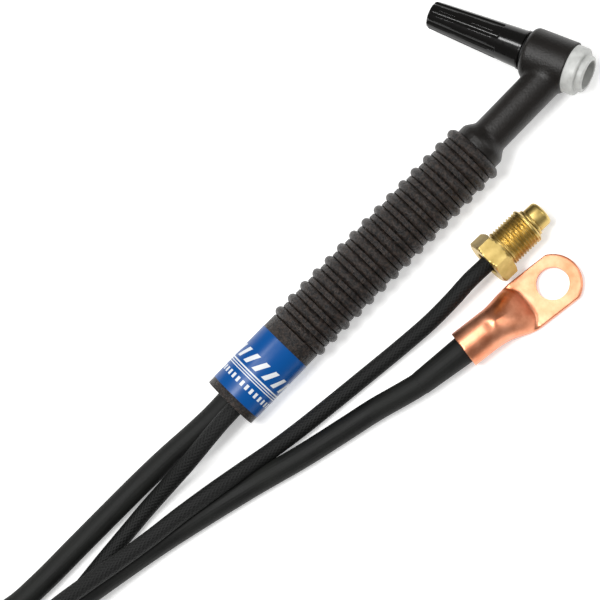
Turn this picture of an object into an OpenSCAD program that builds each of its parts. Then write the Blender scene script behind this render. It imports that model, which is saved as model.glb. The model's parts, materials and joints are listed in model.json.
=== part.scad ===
// Air-cooled TIG torch lying on its side, with a power lead and a gas lead that come back beside it.
// Row frame: +Z up from the surface it lies on, +X along the handle towards the head,
// origin below the middle of the torch's own box (the leads are not counted).

/* [Handle] */
// Length of the handle sleeve
handle_l = 141; // [125:0.1:180]
// Outer diameter of the sleeve on its smooth end and on the lands between ribs
handle_d = 23.6; // [23.2:0.1:32]
// Wall of the sleeve
handle_wall = 1.9; // [1.2:0.1:2.1]
// Number of grip ribs
rib_count = 15; // [1:1:16]
// Distance from one rib to the next
rib_pitch = 7.03; // [5:0.01:7.1]
// Height of a rib above the land
rib_h = 1.3; // [0.6:0.1:1.8]
// Radius of a rib's rounded crown
rib_r = 2.1; // [1.9:0.1:2.6]
// Distance from the sleeve's front end to the middle of its first rib
rib_inset = 2.2; // [2.1:0.1:4]
// Bare length between the cable end and the label band
label_start = 3.4; // [1:0.1:6]
// Width of the label band along the sleeve
label_l = 28.3; // [15:0.1:30]
// Thickness of the label film
label_t = 0.15; // [0.1:0.05:0.3]

/* [Neck] */
// Diameter of the moulded neck
neck_d = 15.3; // [12:0.1:18]
// Distance from the sleeve's front end to the nozzle axis
neck_reach = 48.1; // [36:0.1:60]
// Diameter of the collar that meets the sleeve
collar_d = 20.6; // [16:0.1:23]
// Straight length of the collar
collar_l = 3.0; // [1:0.1:6]
// Length over which the collar narrows to the neck
flare_l = 5.5; // [3:0.1:10]
// Length of the spigot inside the sleeve
spigot_l = 24; // [10:0.5:26]
// Radial clearance between the spigot and the sleeve
spigot_gap = 0.05; // [0.02:0.01:0.2]
// Outer diameter of the copper tube in the neck
tube_d = 6.35; // [5:0.05:8]
// Wall of the copper tube
tube_wall = 1.0; // [0.6:0.1:1.5]

/* [Head] */
// Angle between the handle axis and the nozzle axis
head_angle = 70; // [60:1:80]
// Diameter of the moulded head barrel
barrel_d = 21.4; // [20:0.1:26]
// Distance from the neck axis to the barrel's front face
barrel_front = 4.65; // [4.5:0.05:8]
// Distance from the neck axis to the barrel's rear face
barrel_back = 14.25; // [12:0.05:20]
// Rounding of the barrel's rear edge
barrel_round = 2.2; // [0.5:0.1:2.5]
// Diameter of the brass core inside the barrel
core_d = 16.6; // [16:0.1:18]
// Thickness of moulding behind the core
core_cover = 2.0; // [1:0.1:3]
// Bore diameter of the front thread that takes the collet body
collet_bore_d = 9.5; // [8:0.1:11]
// Depth of the front thread
collet_bore_l = 7.0; // [5:0.1:7]

/* [Gasket] */
// Outer diameter of the gasket's wide ring
gasket_d = 20.2; // [17:0.1:21]
// Length of the wide ring
gasket_l = 5.2; // [3:0.1:8]
// Outer diameter of the gasket's narrow nose
gasket_nose_d = 15.6; // [14:0.1:17]
// Length of the narrow nose
gasket_nose_l = 2.8; // [1:0.1:5]
// Bore of the gasket
gasket_bore_d = 12.2; // [11:0.1:13]
// Diameter of the spigot that seats in the barrel
gasket_seat_d = 15.0; // [14:0.1:15.4]
// Depth of that seat
gasket_seat_l = 3.0; // [1.5:0.1:3]
// Chamfer on the front edges
gasket_chamfer = 0.5; // [0.2:0.1:0.8]

/* [Back cap] */
// Length of the cap outside the head
cap_l = 42.5; // [30:0.5:60]
// Diameter of the cap at its base
cap_base_d = 16.0; // [15.6:0.1:18]
// Diameter of the cap at its tip
cap_tip_d = 11.5; // [10:0.1:14]
// Rounding of the tip's edge
cap_tip_round = 0.9; // [0.3:0.1:2]
// Height of the lip at the base above the cap's side
cap_lip = 0.25; // [0.1:0.05:0.5]
// Gap between the cap's base and the head when the cap is tight
cap_gap = 1.1; // [0.9:0.05:2]
// Number of grip flutes
flute_count = 8; // [4:1:10]
// Radius of a flute
flute_r = 1.6; // [1:0.1:2]
// Depth of a flute
flute_depth = 0.6; // [0.3:0.1:0.9]
// Smooth length between the base and the flutes
flute_start = 10.5; // [6:0.5:15]
// Diameter of the threaded stem
stem_d = 10.3; // [9:0.1:10.6]
// Length of the stem beyond the cap's base
stem_l = 8.4; // [6:0.1:8.6]
// Radial clearance of the stem in its thread
stem_gap = 0.05; // [0.02:0.01:0.1]
// Section diameter of the sealing ring
oring_t = 1.6; // [1:0.1:1.7]
// Gap that keeps the sealing ring off the faces it seals
oring_gap = 0.12; // [0.1:0.01:0.2]

/* [Leads] */
// Outer diameter of the power cable
power_d = 9.6; // [8:0.1:10]
// Wall of the power cable's rubber jacket
jacket_wall = 1.5; // [1.3:0.1:2.3]
// Outer diameter of the gas hose
hose_d = 6.8; // [6:0.1:7.8]
// Bore of the gas hose
hose_bore_d = 4.2; // [4:0.1:4.8]
// Distance that the leads' free ends start inside the sleeve
lead_in = 3; // [1:0.5:6]
// Place of the power cable in the sleeve, below and beside the axis
power_off = [4.35, 2.25];
// Place of the gas hose in the sleeve, above and beside the axis
hose_off = [-4.3, -3.85];

/* [Cable joints] */
// Distance from the sleeve's cable end to the connector block
block_x = 98; // [90:0.5:100]
// Length of the connector block
block_l = 14; // [12:0.5:16]
// Diameter of the connector block
block_d = 17.2; // [16:0.1:18.6]
// Length of the block's rod that the power strands are crimped to
stub_l = 26; // [16:0.5:30]
// Length of the copper crimp sleeve
crimp_l = 28; // [20:0.5:32]
// Wall of the copper crimp sleeve
crimp_wall = 1.0; // [0.6:0.1:1.2]
// Length of hose pushed over a barb
barb_l = 16; // [10:0.5:18]
// Length of a hose ferrule
ferrule_l = 11; // [8:0.5:13]
// Wall of a hose ferrule
ferrule_wall = 0.45; // [0.3:0.05:0.5]

/* [Gas fitting] */
// Width of the nut across its flats
nut_af = 18.4; // [17:0.1:19]
// Length of the hexagon
nut_hex_l = 7.4; // [5:0.1:10]
// Diameter of the nut's outer thread
nut_thread_d = 15.875; // [15:0.025:16.5]
// Length of the threaded part
nut_thread_l = 15.6; // [12:0.1:20]
// Bore at the back of the nut, where the hose goes in
nut_bore_d = 10.6; // [10:0.1:12]
// Diameter of the nipple's stem
nipple_stem_d = 6.84; // [6:0.02:7.4]
// Radial clearance between the nut and the stem
nipple_gap = 0.08; // [0.04:0.01:0.1]
// Diameter of the nipple's nose
nose_d = 10.8; // [9:0.1:12]
// Length of the nose
nose_l = 7.8; // [6:0.1:10]
// Diameter of the ring at the root of the nose
nose_ring_d = 12.4; // [11:0.1:13]

/* [Cable lug] */
// Outer diameter of the lug's barrel
lug_d = 15.8; // [15:0.1:17]
// Wall of the barrel
lug_wall = 2.0; // [1.4:0.1:2.4]
// Length of the round barrel
lug_barrel_l = 16; // [12:0.5:22]
// Distance from the barrel's end to where the flat tang starts
lug_tang_x = 32; // [26:0.5:34]
// Distance from the barrel's end to the middle of the hole
lug_hole_x = 44.3; // [42:0.1:50]
// Diameter of the hole
lug_hole_d = 13.5; // [10:0.1:14]
// Width of the tang
lug_w = 22; // [20:0.1:26]
// Thickness of the tang
lug_t = 3.2; // [2:0.1:4]
// Length of the strain-relief sleeve outside the lug
relief_l = 22; // [8:0.5:24]

/* [Hidden] */
$fn = 64;
e = 0.01;
// Free routes, millimetres in the row frame; each starts or ends at a piece where the lists stop.
power_out_route = [[-109, -18.3, 8.7], [-121, -17.6, 8], [-134, -16.3, 6.7], [-148, -15.4, 5.4],
    [-166, -15, 4.9], [-186, -14.8, 4.9], [-206, -14.6, 4.9], [-221, -13.4, 4.9], [-234, -9, 4.9],
    [-246, -0.5, 4.9], [-260.7, 15.7, 4.9], [-276.5, 31.7, 4.9]];
power_back_route = [[-276.8, -79.8, 14.5], [-262, -65, 14.5], [-247.3, -50, 14.5], [-235, -38, 14.5],
    [-223.5, -32.5, 14.2], [-211, -30.8, 13], [-195, -32.5, 9.9], [-178, -35, 7], [-160, -38.3, 5.2],
    [-140, -43, 4.9], [-118, -48.7, 4.9], [-96, -55, 4.9], [-76.2, -59.8, 5], [-62.3, -63.2, 5.9],
    [-50.6, -66.9, 7.3]];
hose_out_route = [[-109, -24.4, 17.3], [-119, -24.8, 15.6], [-131, -25, 12], [-144, -24.6, 7.6],
    [-156, -24.5, 4.5], [-168, -25.2, 3.5], [-182, -26.3, 3.5], [-195, -27.5, 3.5],
    [-205, -28.2, 3.8], [-215, -27.6, 6], [-225.5, -24.2, 11], [-234.5, -19, 15.4],
    [-244.5, -11.2, 20.4], [-253.5, -3, 22.8], [-265.5, 7, 22.8], [-279, 17.8, 22.8],
    [-292.7, 28.3, 22.8]];
hose_back_route = [[-294, -77.5, 29.7], [-279, -66.4, 28.6], [-264.5, -55.6, 26.8], [-251, -45.4, 25],
    [-239.5, -36.6, 23.4], [-229.5, -30.7, 22.4], [-219, -28.4, 21.6], [-207, -29, 20.3],
    [-192, -31, 17.8], [-177, -33.4, 15.2], [-162, -35.6, 13.3], [-147, -37.5, 12.2],
    [-132, -39.8, 11], [-117, -42.3, 8.9], [-103, -44.6, 6], [-88, -46.6, 4], [-72, -48.5, 3.5],
    [-55, -50.5, 3.5], [-38, -52.6, 4.3], [-22, -54.4, 6.4], [-9, -55.1, 8.6]];
coil_centre = [-333, -24];
power_coil_r = [37, 79.4];
hose_coil_r = [29.2, 66.1];
coil_layers = 2;
nut_pos = [10.5, -55.2];
nut_yaw = -1.5;
lug_pos = [-20.7, -72.3];
lug_yaw = -8;
lead_sides = 8;

handle_r = handle_d / 2;
handle_bore_r = handle_r - handle_wall;
crown_r = handle_r + rib_h;
neck_r = neck_d / 2;
collar_r = collar_d / 2;
spigot_r = handle_bore_r - spigot_gap;
tube_r = tube_d / 2;
tube_bore_r = tube_r - tube_wall;
head_x = handle_l + neck_reach;
barrel_r = barrel_d / 2;
core_r = core_d / 2;
core_front = barrel_front - gasket_seat_l;
core_back = barrel_back - core_cover;
collet_r = collet_bore_d / 2;
stem_r = stem_d / 2;
stem_bore_r = stem_r + stem_gap;
stem_hole_r = stem_r + 0.45;
stem_bore_l = 6;
core_pass_r = 2.8;
gas_pass_r = 1.5;
tube_end_gap = 7.1;
cap_tip_r = cap_tip_d / 2;
cap_base_r = cap_base_d / 2;
cap_taper = atan((cap_base_r - cap_tip_r) / cap_l);
electrode_r = 2.6;
cap_end_wall = 6;
insert_r = 4.4;
insert_l = 9;
oring_r = stem_hole_r + oring_t / 2;
groove_depth = oring_t + 2 * oring_gap - cap_gap;
groove_r = oring_r + oring_t / 2 + 0.2;

// The torch rests on its ribs, rolled so that the cap's tip comes down almost to the surface.
axis_h = crown_r;
cap_reach = barrel_back + cap_gap + cap_l;
cap_rest_gap = 0.9;
roll = asin((axis_h - cap_tip_r - cap_rest_gap) / (cap_reach * sin(head_angle)));
nozzle = [cos(head_angle), -sin(head_angle) * cos(roll), sin(head_angle) * sin(roll)];
function reach(t, r, i) = t * nozzle[i] + r * sqrt(1 - nozzle[i] * nozzle[i]);
gasket_front = barrel_front + gasket_l;
torch_x_max = head_x + reach(gasket_front - gasket_chamfer, gasket_d / 2, 0);
torch_y_max = reach(-cap_reach + cap_tip_round, cap_tip_r, 1);
torch_y_min = min(-crown_r,
    (gasket_front + gasket_nose_l) * nozzle[1] - gasket_nose_d / 2 * sqrt(1 - nozzle[1] * nozzle[1]));
rear_x = -torch_x_max / 2;
axis_y = -(torch_y_max + torch_y_min) / 2;

power_r = power_d / 2;
strand_r = power_d / 2 - jacket_wall;
hose_r = hose_d / 2;
hose_bore_r = hose_bore_d / 2;
crimp_r = strand_r + crimp_wall;
crimp_x = block_x - 14 - crimp_l;
bare_x = crimp_x - 2;
strand_end_x = block_x - stub_l - 0.5;
insulation_end_x = block_x - 2;
barb_x = block_x - barb_l;
barb_seat_l = 4;
barb_bore_r = 1.4;
chamber_x = block_x + 5;
chamber_l = 2;
nut_l = nut_hex_l + nut_thread_l;
nut_pitch = atan((nut_af / 2 - nut_thread_d / 2) / nut_thread_l);
nut_h = nut_af / 2 * cos(nut_pitch) + nut_hex_l * sin(nut_pitch);
nut_land_l = 5;
nut_front_gap = 0.3;
hose_tail_back = 10;
hose_tail_in = 14;
lug_r = lug_d / 2;
lug_bore_r = lug_r - lug_wall;
lug_bore_l = lug_barrel_l + 1.4;
relief_in = 9;
jacket_in = 10;
relief_r = lug_bore_r - 0.05;
lug_round_r = 12;
coil_slack = 0.1;
power_coil_h = coil_layers * power_d + coil_slack;
hose_coil_h = coil_layers * hose_d + coil_slack;

power_start = [rear_x + lead_in, axis_y + power_off[1], axis_h - power_off[0]];
hose_start = [rear_x + lead_in, axis_y + hose_off[1], axis_h - hose_off[0]];
lug_dir = [cos(lug_yaw), sin(lug_yaw), 0];
nut_dir = [cos(nut_pitch) * cos(nut_yaw), cos(nut_pitch) * sin(nut_yaw), -sin(nut_pitch)];
power_end = [lug_pos[0], lug_pos[1], lug_r] - relief_l * lug_dir;
hose_end = [nut_pos[0], nut_pos[1], nut_h] - hose_tail_back * nut_dir;

function unit(v) = v / norm(v);
function tangent(p, i, from, to) =
    i == 0 ? from : i == len(p) - 1 ? to : unit(unit(p[i + 1] - p[i]) + unit(p[i] - p[i - 1]));
function ring(c, t, r, sides) =
    let (side = unit(cross(t, [0, 0, 1])), up = cross(side, t))
    [for (k = [0:sides - 1]) c + r * (cos(360 * k / sides) * side + sin(360 * k / sides) * up)];

// A lead's free stretch: one ring of points at each place on its route.
module lead(route, r, from, to) {
    n = len(route);
    s = lead_sides;
    points = [for (i = [0:n - 1]) each ring(route[i], tangent(route, i, from, to), r, s)];
    sides = [for (i = [0:n - 2], k = [0:s - 1])
        [i * s + k, i * s + (k + 1) % s, (i + 1) * s + (k + 1) % s, (i + 1) * s + k]];
    polyhedron(points, concat(sides, [[for (k = [s - 1:-1:0]) k]],
        [[for (k = [0:s - 1]) (n - 1) * s + k]]), convexity = 4);
}

// The outer shape of a wound coil, with its corners as round as the lead.
module coil(radii, r, base, h) {
    translate([coil_centre[0], coil_centre[1], base])
        rotate_extrude($fn = 96) {
            for (x = radii, z = [r, h - r]) translate([x, z]) circle(r = r);
            translate([radii[0] - r, r]) square([radii[1] - radii[0] + 2 * r, h - 2 * r]);
            translate([radii[0], 0]) square([radii[1] - radii[0], h]);
        }
}

// Frames: z runs along the handle, along the nozzle axis, out of the cap, along the gas fitting.
module on_handle(off = [0, 0]) {
    translate([rear_x, axis_y, axis_h]) rotate([0, 90, 0]) translate([off[0], off[1], 0]) children();
}
module on_head() {
    translate([rear_x + head_x, axis_y, axis_h])
        rotate([-roll, 0, 0]) rotate([0, 0, -head_angle]) rotate([0, 90, 0]) children();
}
module on_cap() {
    on_head() translate([0, 0, -barrel_back - cap_gap]) rotate([180, 0, 0]) children();
}
module on_fitting() {
    translate([nut_pos[0], nut_pos[1], nut_h])
        rotate([0, 0, nut_yaw]) rotate([0, 90 + nut_pitch, 0]) children();
}
module on_lug() {
    translate([lug_pos[0], lug_pos[1], 0]) rotate([0, 0, lug_yaw]) children();
}

module rod(r, from, to) {
    translate([0, 0, from]) cylinder(r = r, h = to - from);
}
module pipe(r, bore, from, to) {
    difference() {
        rod(r, from, to);
        rod(bore, from - e, to + e);
    }
}
function arc(x, z, r, a0, a1, steps) =
    [for (k = [0:steps]) let (a = a0 + (a1 - a0) * k / steps) [x + r * cos(a), z + r * sin(a)]];

module handle() {
    color("#2b2724") on_handle() difference() {
        union() {
            rod(handle_r, 0, handle_l);
            for (k = [0:rib_count - 1]) translate([0, 0, handle_l - rib_inset - k * rib_pitch])
                rotate_extrude() translate([crown_r - rib_r, 0]) circle(r = rib_r, $fn = 32);
        }
        rod(handle_bore_r, -e, handle_l + e);
    }
}

module label_band() {
    color("#0f5aa8") on_handle() pipe(handle_r + label_t, handle_r, label_start, label_start + label_l);
}

module neck_shape() {
    steps = 8;
    rod(spigot_r, handle_l - spigot_l, handle_l + e);
    translate([0, 0, handle_l]) rotate_extrude() polygon(concat([[0, 0], [collar_r, 0]],
        [for (k = [0:steps]) [neck_r + (collar_r - neck_r) * (1 + cos(180 * k / steps)) / 2,
            collar_l + flare_l * k / steps]],
        [[0, collar_l + flare_l]]));
    rod(neck_r, handle_l + collar_l, head_x - neck_r);
}

module head_moulding() {
    back = -barrel_back;
    color("#2b2724") difference() {
        union() {
            on_handle() neck_shape();
            on_head() rotate_extrude() polygon(concat([[0, back]],
                arc(barrel_r - barrel_round, back + barrel_round, barrel_round, -90, 0, 6),
                [[barrel_r, barrel_front], [0, barrel_front]]));
        }
        on_head() {
            rod(core_r, -core_back, core_front);
            rod(gasket_seat_d / 2, core_front - e, barrel_front + e);
            rod(stem_hole_r, back - e, -core_back + e);
            rod(2 * barrel_r, barrel_front, barrel_front + barrel_r);
        }
        on_handle() rod(tube_r, handle_l - spigot_l - e, head_x - tube_end_gap);
    }
}

module head_core() {
    color("#b98a3e") difference() {
        on_head() rod(core_r, -core_back, core_front);
        on_head() {
            rod(stem_bore_r, -core_back - e, -core_back + stem_bore_l);
            rod(core_pass_r, -core_back, core_front);
            rod(collet_r, core_front - collet_bore_l, core_front + e);
        }
        on_handle() {
            rod(tube_r, head_x - 2 * core_r, head_x - tube_end_gap);
            rod(gas_pass_r, head_x - tube_end_gap - e, head_x - collet_r / 2);
        }
    }
}

module neck_tube() {
    color("#b87333") on_handle() pipe(tube_r, tube_bore_r, chamber_x + chamber_l, head_x - tube_end_gap);
}

module cup_gasket() {
    r = gasket_d / 2;
    nose_r = gasket_nose_d / 2;
    seat_r = gasket_seat_d / 2;
    bore_r = gasket_bore_d / 2;
    c = gasket_chamfer;
    tip = gasket_front + gasket_nose_l;
    color("#dcdfdc") on_head() rotate_extrude() polygon([[bore_r, core_front], [seat_r, core_front],
        [seat_r, barrel_front], [r, barrel_front], [r, gasket_front - c], [r - c, gasket_front],
        [nose_r, gasket_front], [nose_r, tip - c], [nose_r - c, tip], [bore_r, tip]]);
}

function cap_r(z) = cap_base_r - (cap_base_r - cap_tip_r) * z / cap_l;

module back_cap() {
    lip_l = 1;
    color("#1d1a18") on_cap() difference() {
        rotate_extrude() polygon(concat(
            [[0, 0], [cap_base_r + cap_lip, 0], [cap_base_r + cap_lip, lip_l], [cap_r(lip_l), lip_l]],
            arc(cap_tip_r - cap_tip_round, cap_l - cap_tip_round, cap_tip_round, 0, 90, 5),
            [[0, cap_l]]));
        for (k = [0:flute_count - 1]) rotate([0, 0, 360 * (k + 0.5) / flute_count])
            translate([cap_r(flute_start) + flute_r - flute_depth, 0, flute_start])
                rotate([0, -cap_taper, 0]) cylinder(r = flute_r, h = cap_l);
        rod(groove_r, -e, groove_depth);
        rod(insert_r, groove_depth - e, insert_l);
        rod(electrode_r, insert_l - e, cap_l - cap_end_wall);
    }
}

module back_cap_insert() {
    color("#c79a45") on_cap() difference() {
        union() {
            rod(stem_r, -stem_l, groove_depth);
            rod(insert_r, groove_depth - e, insert_l);
        }
        rod(electrode_r, -stem_l - e, insert_l + e);
    }
}

module back_cap_oring() {
    color("#101010") on_cap() translate([0, 0, -cap_gap + oring_gap + oring_t / 2])
        rotate_extrude() translate([oring_r, 0]) circle(r = oring_t / 2, $fn = 24);
}

module connector_block() {
    side = norm(hose_off);
    turn = atan2(hose_off[1], hose_off[0]);
    color("#c79a45") difference() {
        union() {
            on_handle() rod(block_d / 2, block_x, block_x + block_l);
            on_handle(power_off) rod(strand_r, block_x - stub_l, block_x + e);
        }
        on_handle(hose_off) {
            rod(hose_bore_r, block_x - e, block_x + barb_seat_l);
            rod(barb_bore_r, block_x, chamber_x + chamber_l / 2);
        }
        on_handle() {
            rod(tube_bore_r, chamber_x, chamber_x + chamber_l + e);
            rod(tube_r, chamber_x + chamber_l, block_x + block_l + e);
            translate([0, 0, chamber_x + chamber_l / 2]) rotate([0, 0, turn]) rotate([0, 90, 0])
                cylinder(r = chamber_l / 2 - 0.1, h = side);
        }
    }
}

module gas_barb() {
    color("#c79a45") on_handle(hose_off) pipe(hose_bore_r, barb_bore_r, barb_x, block_x + barb_seat_l);
}

module torch_hose_ferrule() {
    color("#c79a45") on_handle(hose_off)
        pipe(hose_r + ferrule_wall, hose_r, barb_x + 1, barb_x + 1 + ferrule_l);
}

module torch_crimp_sleeve() {
    color("#b87333") on_handle(power_off) pipe(crimp_r, strand_r, crimp_x, crimp_x + crimp_l);
}

module torch_strands() {
    color("#c47a45") on_handle(power_off) rod(strand_r, bare_x, strand_end_x);
}

module crimp_insulation() {
    color("#151515") on_handle(power_off) pipe(power_r, crimp_r, bare_x, insulation_end_x);
}

module power_cable_entry() {
    color("#262626") on_handle(power_off) rod(power_r, lead_in, bare_x);
}

module gas_hose_entry() {
    color("#2e2e2e") on_handle(hose_off) pipe(hose_r, hose_bore_r, lead_in, block_x - 1);
}

module power_cable_out() {
    route = concat([power_start], power_out_route);
    color("#262626") lead(route, power_r, [-1, 0, 0], unit([-1, 1, 0]));
}

module power_cable_coil() {
    color("#262626") coil(power_coil_r, power_r, 0, power_coil_h);
}

module power_cable_back() {
    route = concat(power_back_route, [power_end]);
    color("#262626") lead(route, power_r, unit([1, 1, 0]), lug_dir);
}

module gas_hose_out() {
    route = concat([hose_start], hose_out_route);
    color("#2e2e2e") lead(route, hose_r, [-1, 0, 0], unit([-8, 6, 0]));
}

module gas_hose_coil() {
    color("#2e2e2e") coil(hose_coil_r, hose_r, power_coil_h, hose_coil_h);
}

module gas_hose_back() {
    route = concat(hose_back_route, [hose_end]);
    color("#2e2e2e") lead(route, hose_r, unit([8, 6, 0]), nut_dir);
}

module on_lug_axis() {
    on_lug() translate([0, 0, lug_r]) rotate([0, 90, 0]) children();
}

module power_cable_tail() {
    color("#262626") on_lug_axis() rod(power_r, -relief_l, jacket_in);
}

module lug_strain_relief() {
    color("#1b1b1b") on_lug_axis() difference() {
        union() {
            translate([0, 0, -relief_l]) cylinder(r1 = power_r + 0.25, r2 = relief_r, h = relief_l);
            rod(relief_r, -e, relief_in);
        }
        rod(power_r, -relief_l - e, relief_in + e);
    }
}

module lug_strands() {
    color("#c47a45") on_lug_axis() rod(relief_r, jacket_in, lug_bore_l);
}

module cable_lug() {
    color("#d98a5f") on_lug() difference() {
        union() {
            translate([0, 0, lug_r]) rotate([0, 90, 0]) rod(lug_r, 0, lug_barrel_l);
            hull() {
                translate([lug_barrel_l - 0.5, 0, lug_r]) rotate([0, 90, 0])
                    cylinder(r = lug_r, h = 0.5, $fn = 32);
                translate([lug_tang_x - 0.5, -lug_w / 2, 0]) cube([0.5, lug_w, lug_t]);
            }
            linear_extrude(lug_t) intersection() {
                translate([lug_tang_x - 0.5, -lug_w / 2]) square([2 * lug_w, lug_w]);
                union() {
                    translate([lug_hole_x, 0]) circle(r = lug_round_r);
                    translate([0, -lug_w / 2]) square([lug_hole_x, lug_w]);
                }
            }
        }
        translate([0, 0, lug_r]) rotate([0, 90, 0]) rod(lug_bore_r, -e, lug_bore_l);
        translate([lug_hole_x, 0, 0]) rod(lug_hole_d / 2, -e, lug_t + e);
    }
}

module gas_hose_tail() {
    color("#2e2e2e") on_fitting() pipe(hose_r, hose_bore_r, -hose_tail_back, hose_tail_in);
}

module fitting_ferrule() {
    color("#c79a45") on_fitting()
        pipe(hose_r + ferrule_wall, hose_r, hose_tail_in - ferrule_l, hose_tail_in);
}

module gas_nipple() {
    ring_l = 1.2;
    stop_l = 1;
    dome = 1.6;
    root = nut_l + nut_front_gap;
    tip = nut_l + nose_l;
    nose_r = nose_d / 2;
    color("#d2ab54") on_fitting() difference() {
        union() {
            rod(hose_bore_r, hose_tail_in - barb_l + 6, hose_tail_in + e);
            rod(hose_r + ferrule_wall, hose_tail_in, hose_tail_in + stop_l);
            rod(nipple_stem_d / 2, hose_tail_in, root + e);
            rod(nose_ring_d / 2, root, root + ring_l);
            rotate_extrude() polygon([[0, root], [nose_r - 0.3, root], [nose_r - 0.3, root + ring_l + 0.6],
                [nose_r, root + ring_l + 1.4], [nose_r, tip - dome - 1], [nose_r - 0.9, tip - dome],
                [nose_r - 2.6, tip - 0.4], [nose_r - 3.4, tip], [0, tip]]);
        }
        rod(barb_bore_r, 0, tip + e);
    }
}

module gas_nut() {
    color("#d2ab54") on_fitting() difference() {
        union() {
            rotate([0, 0, 30]) cylinder(d = nut_af / cos(30), h = nut_hex_l, $fn = 6);
            rod(nut_thread_d / 2, nut_hex_l - e, nut_l);
        }
        rod(nut_bore_d / 2, -e, nut_l - nut_land_l);
        rod(nipple_stem_d / 2 + nipple_gap, 0, nut_l + e);
    }
}

handle();
label_band();
head_moulding();
head_core();
neck_tube();
cup_gasket();
back_cap();
back_cap_insert();
back_cap_oring();
connector_block();
gas_barb();
torch_hose_ferrule();
torch_crimp_sleeve();
torch_strands();
crimp_insulation();
power_cable_entry();
gas_hose_entry();
power_cable_out();
power_cable_coil();
power_cable_back();
gas_hose_out();
gas_hose_coil();
gas_hose_back();
power_cable_tail();
lug_strain_relief();
lug_strands();
cable_lug();
gas_hose_tail();
fitting_ferrule();
gas_nipple();
gas_nut();
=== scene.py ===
import json
import math
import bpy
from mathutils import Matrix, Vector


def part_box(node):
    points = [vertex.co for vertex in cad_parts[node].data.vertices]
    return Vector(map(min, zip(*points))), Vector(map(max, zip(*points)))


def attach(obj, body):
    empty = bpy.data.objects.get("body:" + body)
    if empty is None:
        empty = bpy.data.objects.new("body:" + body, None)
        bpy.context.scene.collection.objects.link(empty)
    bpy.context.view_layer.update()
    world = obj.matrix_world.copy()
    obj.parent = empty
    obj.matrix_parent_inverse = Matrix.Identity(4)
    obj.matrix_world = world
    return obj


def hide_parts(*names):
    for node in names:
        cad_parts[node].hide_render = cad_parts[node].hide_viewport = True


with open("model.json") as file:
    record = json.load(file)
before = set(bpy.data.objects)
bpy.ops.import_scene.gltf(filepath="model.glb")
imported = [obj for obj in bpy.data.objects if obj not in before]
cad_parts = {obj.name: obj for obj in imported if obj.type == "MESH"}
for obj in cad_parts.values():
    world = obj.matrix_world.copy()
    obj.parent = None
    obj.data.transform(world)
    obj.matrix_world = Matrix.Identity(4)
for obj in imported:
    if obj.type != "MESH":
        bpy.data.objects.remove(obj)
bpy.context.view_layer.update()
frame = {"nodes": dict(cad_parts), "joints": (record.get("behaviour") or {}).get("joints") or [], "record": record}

import bmesh
import bpy
import numpy as np
from mathutils import Matrix, Vector

MM = 0.001
scene = bpy.context.scene
scene.view_settings.view_transform = "Standard"

# Camera, bench and light.
# A long lens looks down on the torch, tipped a little towards the nozzle side and rolled so that
# the handle runs up to the right. The bench is a plain white sheet, lit a little from below as a
# light table is, under three soft lamps.
handle_low, handle_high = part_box("handle")
axis_y = (handle_low.y + handle_high.y) / 2
axis_z = (handle_low.z + handle_high.z) / 2
aim_along, aim_aside, aim_height = 49.0 * MM, 10.0 * MM, 8 * MM
aim = Vector((handle_low.x + aim_along, axis_y + aim_aside, aim_height))
camera_distance = 1.3
view_width = 0.2412
tilt = math.radians(77)
roll = math.radians(45.75)

bench_up = Vector((0, math.sin(tilt), math.cos(tilt)))
back = Vector((0, -math.cos(tilt), math.sin(tilt)))
camera_right = math.cos(roll) * Vector((1, 0, 0)) - math.sin(roll) * bench_up
camera_up = math.sin(roll) * Vector((1, 0, 0)) + math.cos(roll) * bench_up
camera_data = bpy.data.cameras.new("camera")
camera_data.sensor_width = 36
camera_data.lens = camera_data.sensor_width * camera_distance / view_width
camera_data.clip_start = 0.05
camera_data.clip_end = 20
camera = bpy.data.objects.new("camera", camera_data)
scene.collection.objects.link(camera)
camera_turn = Matrix((camera_right, camera_up, back)).transposed()
camera.matrix_world = Matrix.Translation(aim + camera_distance * back) @ camera_turn.to_4x4()
scene.camera = camera


def linear(hex_colour):
    """A shader colour from an sRGB hex value such as "1f5fa8"."""
    parts = [int(hex_colour[i:i + 2], 16) / 255 for i in (0, 2, 4)]
    return tuple(c / 12.92 if c <= 0.04045 else ((c + 0.055) / 1.055) ** 2.4 for c in parts) + (1,)


def add_node(tree, kind, settings=None, inputs=None, links=None):
    """A node of that kind, with its settings, its sockets' values and the sockets that feed it."""
    made = tree.nodes.new(kind)
    for name, value in (settings or {}).items():
        setattr(made, name, value)
    for name, value in (inputs or {}).items():
        made.inputs[name].default_value = value
    for name, source in (links or {}).items():
        tree.links.new(source, made.inputs[name])
    return made


def start_material(name, colour, roughness, metallic=0.0, **sockets):
    """A named material with its surface shader's constant values set; returns it, its tree and shader."""
    material = bpy.data.materials.new(name)
    material.use_nodes = True
    tree = material.node_tree
    shader = tree.nodes["Principled BSDF"]
    shader.inputs["Base Color"].default_value = linear(colour)
    shader.inputs["Roughness"].default_value = roughness
    shader.inputs["Metallic"].default_value = metallic
    for socket, value in sockets.items():
        shader.inputs[socket.replace("_", " ")].default_value = value
    return material, tree, shader


bench_half, bench_top, bench_glow = 6.0, -0.0005, 0.35
bench_corners = [(-bench_half, -bench_half, bench_top), (bench_half, -bench_half, bench_top),
                 (bench_half, bench_half, bench_top), (-bench_half, bench_half, bench_top)]
bench_mesh = bpy.data.meshes.new("bench")
bench_mesh.from_pydata(bench_corners, [], [(0, 1, 2, 3)])
bench = bpy.data.objects.new("bench", bench_mesh)
scene.collection.objects.link(bench)
bench_mesh.materials.append(start_material("bench_card", "f4f4f3", 0.9, Emission_Color=(1, 1, 1, 1),
                                           Emission_Strength=bench_glow)[0])

world = bpy.data.worlds.new("studio")
world.use_nodes = True
world.node_tree.nodes["Background"].inputs["Color"].default_value = linear("ffffff")
world.node_tree.nodes["Background"].inputs["Strength"].default_value = 0.24
scene.world = world
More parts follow.
